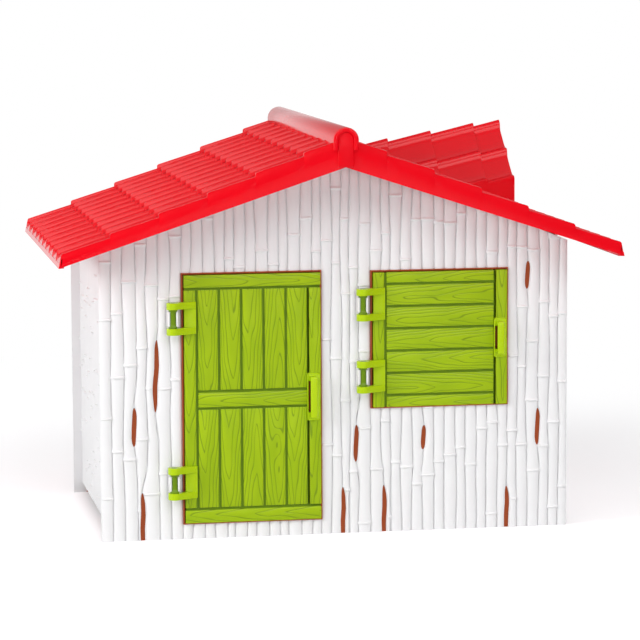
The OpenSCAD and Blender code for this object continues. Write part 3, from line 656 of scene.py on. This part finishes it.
def rearHood():
    look = hoodLook
    tilt, slope = math.radians(look["tilt"]), math.radians(look["slope"])
    normal = Matrix.Rotation(-tilt, 3, "Y") @ Matrix.Rotation(slope, 3, "X") @ Vector((0, 0, 1))
    corner = Vector((hoodHigh.x, hoodHigh.y, footZ(hoodHigh.x) + look["rise"]))
    step, crest, wall = look["step"], tileLook["crest"], look["wall"]
    base = corner - normal * (step + crest)

    def planeZ(x, y, over):
        return base.z + (over - normal.x * (x - base.x) - normal.y * (y - base.y)) / normal.z

    profile = tileProfile(hoodHigh.y - hoodLow.y, look["rolls"], look["squeeze"], look["lastCrest"])
    rows = [(hoodLow.y, None), (hoodLow.y, crest - look["edgeDrop"])]
    rows += [(hoodLow.y + y, z) for y, z, _ in profile]
    rows += [(hoodHigh.y, crest), (hoodHigh.y, None)]
    ends = [x * mm for x in look["rowEnds"]]
    gap = ends[0] - ends[1]
    r = tileLook["endRound"]
    cut = r * tileLook["endCut"]
    edge = step * (hoodHigh.x - ends[0]) / gap
    columns = [(hoodHigh.x, None), (hoodHigh.x, edge - r), (hoodHigh.x - cut, edge - cut)]
    columns += [(hoodHigh.x - r, edge), ((hoodHigh.x + ends[0]) / 2, edge / 2)]
    for x0 in ends[:-1]:
        columns += [(x0, 0.0), (x0, step - r), (x0 - cut, step - cut), (x0 - r, step)]
        columns += [(x0 - gap * share, step * (1 - share)) for share in tileLook["midShares"]]
    columns.append((ends[-1], 0.0))
    last = len(rows) - 1

    def place(i, j, layer):
        x, over = columns[i]
        y, rollZ = rows[j]
        bottom = footZ(x) - look["bury"] * (2 - layer)
        if layer == 0:
            x = min(x, hoodHigh.x - wall)
            y = max(hoodLow.y + wall, min(hoodHigh.y - wall, y))
        if i == 0 or j in (0, last):
            return Vector((x, y, bottom))
        over = over + rollZ if layer else -wall
        return Vector((x, y, max(bottom, planeZ(x, y, over))))

    bm = bmesh.new()
    gridShell(bm, len(columns) - 1, last, place)
    makePiece(bm, "tile_hood_rear", redPlastic, "house", ["rear_hood"], sharpAngle=31)
    print("rear hood made")


rearHood()


# Ridge cap: a round-topped cover with a thick rounded rim at each end
def ridgeCap():
    look = capLook
    half, rim, r = look["half"], look["rim"], look["round"]
    middleZ = capHigh.z - half
    # The wall's section as a closed path of (inset from the outside, distance along Y)
    end = capHigh.y
    side = [(0.0, end - r)]
    for share in (0.25, 0.5, 0.75, 1.0):
        a = share * math.pi / 2
        side.append((r * (1 - math.cos(a)), end - r + r * math.sin(a)))
    side += [(rim - r * 0.6, end), (rim - r * 0.15, end - r * 0.2), (rim, end - r * 0.7)]
    side += [(rim, end - look["rimDepth"]), (look["wall"], end - look["rimDepth"])]
    path = [(0.0, 0.0)] + side + [(look["wall"], 0.0)]
    path += [(inset, -y) for inset, y in reversed(side)] + [(0.0, 0.0)]
    feet = look["feet"]
    foot = middleZ - (capLow.z + look["lift"])
    columns = look["arcSteps"] + 2 * feet
    bm = bmesh.new()
    made = bmesh.ops.create_grid(bm, x_segments=columns, y_segments=len(path) - 1, size=1)
    for vert in made["verts"]:
        i = round((vert.co.x + 1) / 2 * columns)
        j = round((vert.co.y + 1) / 2 * (len(path) - 1))
        inset, y = path[j]
        radius = half - inset
        turnShare = (i - feet) / look["arcSteps"]
        a = math.pi * (1 - max(0.0, min(1.0, turnShare)))
        drop = max(0, feet - i, i - feet - look["arcSteps"]) / feet
        vert.co = Vector((radius * math.cos(a), y, middleZ + radius * math.sin(a) - foot * drop))
    bmesh.ops.remove_doubles(bm, verts=bm.verts, dist=weldGap)
    rims = [edge for edge in bm.edges if edge.is_boundary]
    bmesh.ops.holes_fill(bm, edges=rims, sides=0)
    makePiece(bm, "ridge_cap_round", redPlastic, "house", ["ridge_cap"], sharpAngle=50)
    print("ridge cap made")


ridgeCap()


# Copies of CAD parts whose shape is right, with the softened edges of moulded plastic
softLook = {"weld": 0.01 * mm, "flatAngle": 0.5, "sharpAngle": 35}     # angles in degrees


def softCopy(node, name, material, body, radius, segments=2):
    bm = bmesh.new()
    bm.from_mesh(frame["nodes"][node].data)
    bmesh.ops.remove_doubles(bm, verts=bm.verts, dist=softLook["weld"])
    flat, limit = math.radians(softLook["flatAngle"]), math.radians(softLook["sharpAngle"])
    bmesh.ops.dissolve_limit(bm, angle_limit=flat, verts=bm.verts, edges=bm.edges)
    sharp = [edge for edge in bm.edges if len(edge.link_faces) == 2 and edge.calc_face_angle(0) > limit]
    bmesh.ops.bevel(bm, geom=sharp, offset=radius, offset_type="OFFSET", segments=segments, profile=0.5,
                    affect="EDGES", clamp_overlap=True, material=-1)
    makePiece(bm, name, material, body, [node], sharpAngle=40)
    print(name, "softened")


for end in ("front", "back"):
    softCopy("ridge_end_" + end, "ridge_plate_" + end, redPlastic, "house", 2.5 * mm, 3)
for leaf in ("door", "shutter"):
    softCopy(leaf + "_hinge_brackets", leaf + "_hinge_arms", limePlastic, leaf,
             2.2 * mm, 3)
    softCopy(leaf + "_wall_clips", leaf + "_pin_cradles", whitePlastic, "house", 0.8 * mm)

# Hinge pins: waisted between their collars, with a domed end
pinLook = {
    "waist": 8.2 * mm, "collar": 11.8 * mm, "collarHeight": 5 * mm, "dome": 0.6 * mm, "steps": 32,
    "tip": 7.5 * mm, "rim": 9.2 * mm, "shank": 9.4 * mm, "rimHeight": 2 * mm,
    "collarTop": 0.3 * mm, "collarFoot": 1 * mm, "collarRound": 0.6 * mm,
    "neck": 1.2 * mm,          # how much narrower a pin is under its collar
    "taper": 9 * mm,           # height over which it narrows from there to its waist
    "taperShares": (0.15, 0.35, 0.6, 1.0), "taperPower": 2.2,
    "bracketHeight": 86 * mm, "innerHeight": 51 * mm,
}


def hingePins(leaf, joint, heights):
    look = pinLook
    axis = Vector(joint["pos_m"])
    bm = bmesh.new()
    reach = look["bracketHeight"] / 2
    inner = look["innerHeight"] / 2
    collar, shank, waist = look["collar"], look["shank"], look["waist"]
    under = inner - look["collarHeight"]
    for middle in heights:
        outline = [(0.0, reach + look["dome"]), (look["tip"], reach + look["dome"]), (look["rim"], reach),
                   (shank, reach - look["rimHeight"]), (shank, inner), (collar, inner - look["collarTop"]),
                   (collar, under + look["collarFoot"]), (collar - look["collarRound"], under)]
        for share in look["taperShares"]:
            radius = waist + (collar - look["neck"] - waist) * (1 - share) ** look["taperPower"]
            outline.append((radius, under - look["taper"] * share))
        points = outline + [(x, -z) for x, z in reversed(outline)]
        verts = [bm.verts.new((axis.x + x, axis.y, middle + z)) for x, z in points]
        edges = [bm.edges.new(pair) for pair in zip(verts, verts[1:])]
        bmesh.ops.spin(bm, geom=verts + edges, cent=(axis.x, axis.y, 0), axis=(0, 0, 1),
                       angle=2 * math.pi, steps=look["steps"], use_merge=True)
    makePiece(bm, leaf + "_pins_waisted", pinPlastic, leaf, [leaf + "_hinge_pins"],
              sharpAngle=45)


joints = {joint["child"]: joint for joint in frame["joints"]}
hingePins("door", joints["door"], (158 * mm, 601 * mm))
hingePins("shutter", joints["shutter"], (431 * mm, 626 * mm))
print("hinges made")

# Leaves: boards with rounded edges over a backing panel, painted a darker green as the shade in the grooves
# between them
leafLook = {
    "stile": 34 * mm, "edge": 2.2 * mm, "groove": 6.4 * mm, "backing": 4.5 * mm,
    "plankBack": 1.5 * mm, "plankEdge": 2.2 * mm,
    "grow": 3.5 * mm,          # how far a leaf reaches over the rim at its closing edge and foot
    "coreInset": 1.5 * mm,
    "slotCorner": 1.0, "slotEdge": 0.9 * mm,   # edges sharper than this angle, in radians, are rounded
}


# Adds a board and its grain coordinates; along is "X" or "Z"
def addBoard(bm, low, high, along, rng, radius, hole=None):
    before = set(bm.faces)
    if hole is None:
        roundBlock(bm, low, high, radius)
    else:
        xs = [low[0], hole[0], hole[1], high[0]]
        zs = [low[2], hole[2], hole[3], high[2]]
        made = bmesh.ops.create_grid(bm, x_segments=3, y_segments=3, size=1)
        for vert in made["verts"]:
            i, j = (round((vert.co[k] + 1) / 2 * 3) for k in (0, 1))
            vert.co = Vector((xs[i], high[1], zs[j]))
        faces = list({face for vert in made["verts"] for face in vert.link_faces})
        middle = [face for face in faces if hole[0] < face.calc_center_median().x < hole[1]
                  and hole[2] < face.calc_center_median().z < hole[3]]
        bmesh.ops.delete(bm, geom=middle, context="FACES")
        faces = [face for face in faces if face.is_valid]
        raised = bmesh.ops.extrude_face_region(bm, geom=faces, use_keep_orig=True)
        lifted = [item for item in raised["geom"] if isinstance(item, bmesh.types.BMVert)]
        bmesh.ops.translate(bm, verts=lifted, vec=(0, low[1] - high[1], 0))
        added = [face for face in bm.faces if face not in before]
        edges = {edge for face in added for edge in face.edges}
        corners = [edge for edge in edges if edge.calc_face_angle(0) > leafLook["slotCorner"]]
        bmesh.ops.bevel(bm, geom=corners, offset=min(radius, leafLook["slotEdge"]), offset_type="OFFSET",
                        segments=2, profile=0.5, affect="EDGES", material=-1)
    layer = bm.loops.layers.uv.get("grain") or bm.loops.layers.uv.new("grain")
    middle = [(low[k] + high[k]) / 2 for k in range(3)]
    start, flip = rng.uniform(*grainLook["start"]), rng.choice((-1, 1))
    off = rng.uniform(-grainLook["shift"], grainLook["shift"])
    for face in bm.faces:
        if face in before:
            continue
        for loop in face.loops:
            x, z = loop.vert.co.x - middle[0], loop.vert.co.z - middle[2]
            u, v = (x, z) if along == "X" else (z, x)
            loop[layer].uv = (start + flip * u, v + off)


def leafPiece(name, leaf, low, high, boards, seed):
    look = leafLook
    rng = random.Random(seed)
    bm = bmesh.new()
    bm.loops.layers.uv.new("grain")
    front, back = low.y, high.y
    # The planks show on both faces of a thin core
    core = (front + look["plankBack"] + look["backing"], back - look["plankBack"] - look["backing"])
    gap, inset = look["groove"] / 2, look["coreInset"]
    slot = boards[0][6]  # the first board is the one with the finger slot
    addBoard(bm, (low.x + inset, core[0], low.z + inset), (high.x - inset, core[1], high.z - inset),
             "Z", rng, 0, hole=slot)
    # The core takes the second material: a darker green that paints the shade in the grooves
    for face in bm.faces:
        face.material_index = 1
    # A board on the rim of the leaf goes right to it; towards its neighbours it keeps half a groove
    for x0, x1, z0, z1, along, flush, hole in boards:
        sunk = 0 if flush else look["plankBack"]
        rim = [x0 < low.x + gap, x1 > high.x - gap, z0 < low.z + gap, z1 > high.z - gap]
        x0, x1 = x0 + (0 if rim[0] else gap), x1 - (0 if rim[1] else gap)
        z0, z1 = z0 + (0 if rim[2] else gap), z1 - (0 if rim[3] else gap)
        addBoard(bm, (x0, front + sunk, z0), (x1, back - sunk, z1), along, rng,
                 look["edge"] if flush else look["plankEdge"], hole=hole)
    piece = makePiece(bm, name, greenGrain, leaf, [leaf + "_leaf"], sharpAngle=50)
    # Second slot: the darker green of the painted groove shade
    piece.data.materials.append(grooveShadeGreen)


doorPlan = {"foot": 38 * mm, "head": 37 * mm, "rail": (310 * mm, 356 * mm), "planks": 5}
shutterPlan = {"pitch": 60.5 * mm, "planks": 7}


# Boards: left, right, foot, top, way of the grain, whether they stand proud, finger slot
def doorBoards(low, high, slot):
    stile = leafLook["stile"]
    left, right = low.x + stile, high.x - stile
    foot, head = low.z + doorPlan["foot"], high.z - doorPlan["head"]
    rail = [low.z + height for height in doorPlan["rail"]]
    boards = [(right, high.x, foot, head, "Z", True, slot), (low.x, left, foot, head, "Z", True, None)]
    boards += [(low.x, high.x, low.z, foot, "X", True, None), (low.x, high.x, head, high.z, "X", True, None)]
    boards.append((left, right, *rail, "X", True, None))
    planks = doorPlan["planks"]
    width = (right - left) / planks
    for z0, z1 in ((foot, rail[0]), (rail[1], head)):
        for k in range(planks):
            boards.append((left + k * width, left + (k + 1) * width, z0, z1, "Z", False, None))
    return boards


def shutterBoards(low, high, slot):
    stile, pitch, planks = leafLook["stile"], shutterPlan["pitch"], shutterPlan["planks"]
    left, right = low.x + stile, high.x - stile
    middle = (low.z + high.z) / 2
    cuts = [low.z] + [middle + (k - planks / 2) * pitch for k in range(1, planks)] + [high.z]
    boards = [(right, high.x, low.z, high.z, "Z", True, slot), (low.x, left, low.z, high.z, "Z", True, None)]
    return boards + [(left, right, z0, z1, "X", False, None) for z0, z1 in zip(cuts, cuts[1:])]


slotPlan = {"end": 22 * mm, "sides": (2 * mm, 24 * mm)}     # from the plate's ends and its left edge


def slotBox(handle):
    plateLow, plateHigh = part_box(handle)
    middle, height = (plateLow.z + plateHigh.z) / 2, plateHigh.z - plateLow.z
    half = height / 2 - slotPlan["end"]
    left, right = slotPlan["sides"]
    return (plateLow.x + left, plateLow.x + right, middle - half, middle + half)


doorSlot = slotBox("door_handle")
shutterSlot = slotBox("shutter_handle")
for name, leaf, low, high, slot, plan, seed in (
    ("door_planked", "door", doorLow, doorHigh, doorSlot, doorBoards, 5),
    ("shutter_planked", "shutter", shutterLow, shutterHigh, shutterSlot, shutterBoards, 9),
):
    low, high = low - Vector((0, 0, leafLook["grow"])), high + Vector((leafLook["grow"], 0, 0))
    leafPiece(name, leaf, low, high, plan(low, high, slot), seed)
print("leaves made")

# Handles: a framed plate and a rounded grab bar on two feet
handleLook = {
    "plate": 3 * mm, "plateEdge": 0.8 * mm, "sink": 0.5 * mm,
    "frame": 3.2 * mm, "frameOut": 1.6 * mm, "frameEdge": 0.7 * mm,
    "barThick": 11 * mm, "barEdge": 5.5 * mm, "barRound": 0.98,
    "barSides": (4 * mm, 24 * mm), "barEnd": 8 * mm,    # from the slot's left edge, from the plate's ends
    "foot": 14 * mm, "footInset": 1.5 * mm, "footEnd": 1 * mm, "footEdge": 3 * mm, "footSink": 2 * mm,
}


def handlePiece(name, leaf, slot):
    look = handleLook
    low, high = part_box(leaf + "_handle")
    rng = random.Random(3)
    bm = bmesh.new()
    plateFront = high.y - look["plate"]
    addBoard(bm, (low.x, plateFront + look["plateEdge"], low.z), (high.x, high.y + look["sink"], high.z),
             "Z", rng, look["plateEdge"], hole=slot)
    wide = look["frame"]
    for x0, x1, z0, z1 in (
        (low.x, low.x + wide, low.z, high.z), (high.x - wide, high.x, low.z, high.z),
        (low.x, high.x, low.z, low.z + wide), (low.x, high.x, high.z - wide, high.z),
    ):
        roundBlock(bm, (x0, plateFront, z0), (x1, plateFront + look["frameOut"], z1), look["frameEdge"], 2)
    barLeft, barRight = (slot[0] + side for side in look["barSides"])
    thick, inset = look["barThick"], look["barEnd"]
    roundBlock(bm, (barLeft, low.y, low.z + inset), (barRight, low.y + thick, high.z - inset),
               look["barEdge"] * look["barRound"], 5)
    foot, narrow, end = look["foot"], look["footInset"], look["footEnd"]
    for z in (low.z + inset, high.z - inset - foot):
        roundBlock(bm, (barLeft + narrow, low.y + thick / 2, z + end),
                   (barRight - narrow, plateFront + look["footSink"], z + foot - end), look["footEdge"], 3)
    makePiece(bm, name, limePlastic, leaf, [leaf + "_handle"], sharpAngle=50)


handlePiece("door_grab_bar", "door", doorSlot)
handlePiece("shutter_grab_bar", "shutter", shutterSlot)
print("handles made")

# CAD parts that keep their own shape get their plastic or steel
for nodes, material in (
    (("front_liner", "back_liner", "left_liner", "right_liner"), brownPlastic),
    (("corner_angles", "roof_brackets"), brownPlastic),
    (("corner_screws", "roof_screws", "door_screws", "shutter_screws"), zinc),
    (("clip_screws",), whitePlastic),
):
    for node in nodes:
        target = frame["nodes"][node]
        target.data.materials.clear()
        target.data.materials.append(material)

# Floor, backdrop, lights and camera
stageLook = {
    "floorRadius": 9.0, "fadeFrom": 1.5, "fadeTo": 3.4, "floorShade": "#E8E8E9", "cameraGain": 1.8,
    "glossFront": 0.04, "glossBack": 0.95,
    "bright": (-0.5, 1.0, 0.0),     # way in which the room gets brighter: to the back and to the left
    "gain": 1.9,
    "floorSweep": (-0.6, 1.0),      # where that change begins and ends, on the floor and in the room
    "roomSweep": (-0.35, 0.15),
    # Brightness of the room against the sine of the height, in front of the house and behind it
    "front": ((0.0, 0.02), (0.3, 0.03), (0.42, 1.0), (0.66, 1.0), (0.8, 0.16)),
    "back": ((0.0, 0.5), (0.05, 0.5), (0.3, 0.2), (0.98, 0.2)),
}


# The floor keeps its soft shadow for the camera. Reflections see it white behind the house, where the
# backdrop stands, and dim in front, where the room is dark.
def makeFloor():
    look = stageLook
    bm = bmesh.new()
    bmesh.ops.create_circle(bm, cap_ends=True, segments=96, radius=look["floorRadius"])
    mesh = bpy.data.meshes.new("floor")
    bm.to_mesh(mesh)
    bm.free()
    floor = bpy.data.objects.new("floor", mesh)
    bpy.context.scene.collection.objects.link(floor)
    material = bpy.data.materials.new("studio_floor")
    material.use_nodes = True
    tree = material.node_tree
    tree.nodes.remove(tree.nodes["Principled BSDF"])
    output = tree.nodes["Material Output"]
    path = addNode(tree, "ShaderNodeLightPath")
    place = addNode(tree, "ShaderNodeTexCoord").outputs["Object"]
    distance = addNode(tree, "ShaderNodeVectorMath", {"operation": "LENGTH"}, {"Vector": place})
    fade = addNode(tree, "ShaderNodeMapRange", {
        "interpolation_type": "SMOOTHSTEP", "From Min": look["fadeFrom"], "From Max": look["fadeTo"]},
        {"Value": distance.outputs["Value"]})
    pale = hexColour(look["floorShade"])
    bright = tuple(c * look["cameraGain"] for c in pale[:3]) + (1.0,)
    seen = addNode(tree, "ShaderNodeMix", {"data_type": "RGBA", 6: pale, 7: bright},
                   {"Factor": path.outputs["Is Camera Ray"]})
    diffuse = addNode(tree, "ShaderNodeBsdfDiffuse", {}, {"Color": seen.outputs[2]})
    glow = addNode(tree, "ShaderNodeEmission", {"Color": (1, 1, 1, 1), "Strength": 1.0})
    share = addNode(tree, "ShaderNodeMath", {"operation": "MULTIPLY"},
                    {0: fade.outputs["Result"], 1: path.outputs["Is Camera Ray"]})
    blend = addNode(tree, "ShaderNodeMixShader", {}, {
        0: share.outputs[0], 1: diffuse.outputs[0], 2: glow.outputs[0]})
    depth = addNode(tree, "ShaderNodeVectorMath", {"operation": "DOT_PRODUCT", 1: look["bright"]}, {0: place})
    low, high = look["floorSweep"]
    sweep = addNode(tree, "ShaderNodeMapRange", {
        "interpolation_type": "SMOOTHSTEP", "From Min": low, "From Max": high,
        "To Min": look["glossFront"], "To Max": look["glossBack"]}, {"Value": depth.outputs["Value"]})
    mirror = addNode(tree, "ShaderNodeEmission", {"Color": (1, 1, 1, 1)},
                     {"Strength": sweep.outputs["Result"]})
    final = addNode(tree, "ShaderNodeMixShader", {}, {
        0: path.outputs["Is Glossy Ray"], 1: blend.outputs[0], 2: mirror.outputs[0]})
    tree.links.new(final.outputs[0], output.inputs["Surface"])
    mesh.materials.append(material)


# White for the camera. Everything else sees a studio: dark low in front, a wide soft light higher up
# in front, a white horizon behind the house and grey above it.
def makeWorld():
    look = stageLook
    world = bpy.data.worlds.new("studio")
    bpy.context.scene.world = world
    world.use_nodes = True
    tree = world.node_tree
    tree.nodes.clear()
    path = addNode(tree, "ShaderNodeLightPath")
    direction = addNode(tree, "ShaderNodeTexCoord").outputs["Generated"]
    parts = addNode(tree, "ShaderNodeSeparateXYZ", {}, {"Vector": direction})
    sides = []
    for stops in (look["front"], look["back"]):
        ramp = addNode(tree, "ShaderNodeValToRGB", {}, {"Fac": parts.outputs["Z"]})
        for n, (height, level) in enumerate(stops):
            stop = ramp.color_ramp.elements[n] if n < 2 else ramp.color_ramp.elements.new(height)
            stop.position = height
            stop.color = (level, level, level, 1)
        sides.append(ramp.outputs["Color"])
    depth = addNode(tree, "ShaderNodeVectorMath", {"operation": "DOT_PRODUCT", 1: look["bright"]},
                    {0: direction})
    low, high = look["roomSweep"]
    sweep = addNode(tree, "ShaderNodeMapRange", {
        "interpolation_type": "SMOOTHSTEP", "From Min": low, "From Max": high},
        {"Value": depth.outputs["Value"]})
    room = addNode(tree, "ShaderNodeMix", {"data_type": "RGBA"}, {
        "Factor": sweep.outputs["Result"], 6: sides[0], 7: sides[1]})
    ambient = addNode(tree, "ShaderNodeBackground", {"Strength": look["gain"]}, {"Color": room.outputs[2]})
    white = addNode(tree, "ShaderNodeBackground", {"Color": (1, 1, 1, 1), "Strength": 1.0})
    final = addNode(tree, "ShaderNodeMixShader", {}, {
        0: path.outputs["Is Camera Ray"], 1: ambient.outputs[0], 2: white.outputs[0]})
    addNode(tree, "ShaderNodeOutputWorld", {}, {"Surface": final.outputs[0]})


def addSoftbox(name, place, aim, size, power):
    data = bpy.data.lights.new(name, "AREA")
    data.shape = "RECTANGLE"
    data.size, data.size_y = size
    data.energy = power
    lamp = bpy.data.objects.new(name, data)
    lamp.visible_glossy = False  # reflections come from the world alone
    bpy.context.scene.collection.objects.link(lamp)
    lamp.location = place
    lamp.rotation_euler = (Vector(aim) - Vector(place)).to_track_quat("-Z", "Y").to_euler()


# Place and turn (to the right, down and around, in degrees) were fitted to the photograph's outline
cameraLook = {
    "sensor": 36, "lens": 171.6, "reach": 200, "place": (-1.461, -8.399, 1.576), "turn": (10.03, 6.95, -0.27),
}


def addCamera():
    data = bpy.data.cameras.new("camera")
    data.sensor_width = cameraLook["sensor"]
    data.lens = cameraLook["lens"]
    data.clip_end = cameraLook["reach"]
    camera = bpy.data.objects.new("camera", data)
    bpy.context.scene.collection.objects.link(camera)
    yaw, pitch, roll = (math.radians(angle) for angle in cameraLook["turn"])
    turn = Matrix.Rotation(-yaw, 4, "Z") @ Matrix.Rotation(math.pi / 2 - pitch, 4, "X")
    turn = turn @ Matrix.Rotation(roll, 4, "Z")
    camera.matrix_world = Matrix.Translation(cameraLook["place"]) @ turn
    bpy.context.scene.camera = camera


makeFloor()
makeWorld()
addSoftbox("key_left", (-4.6, -2.0, 2.0), (0, 0, 0.5), (1.6, 1.6), 100)
addSoftbox("front_fill", (1.0, -7.0, 0.9), (0, 0, 0.6), (3.0, 1.4), 112)
addCamera()
bpy.context.scene.view_settings.view_transform = "Standard"
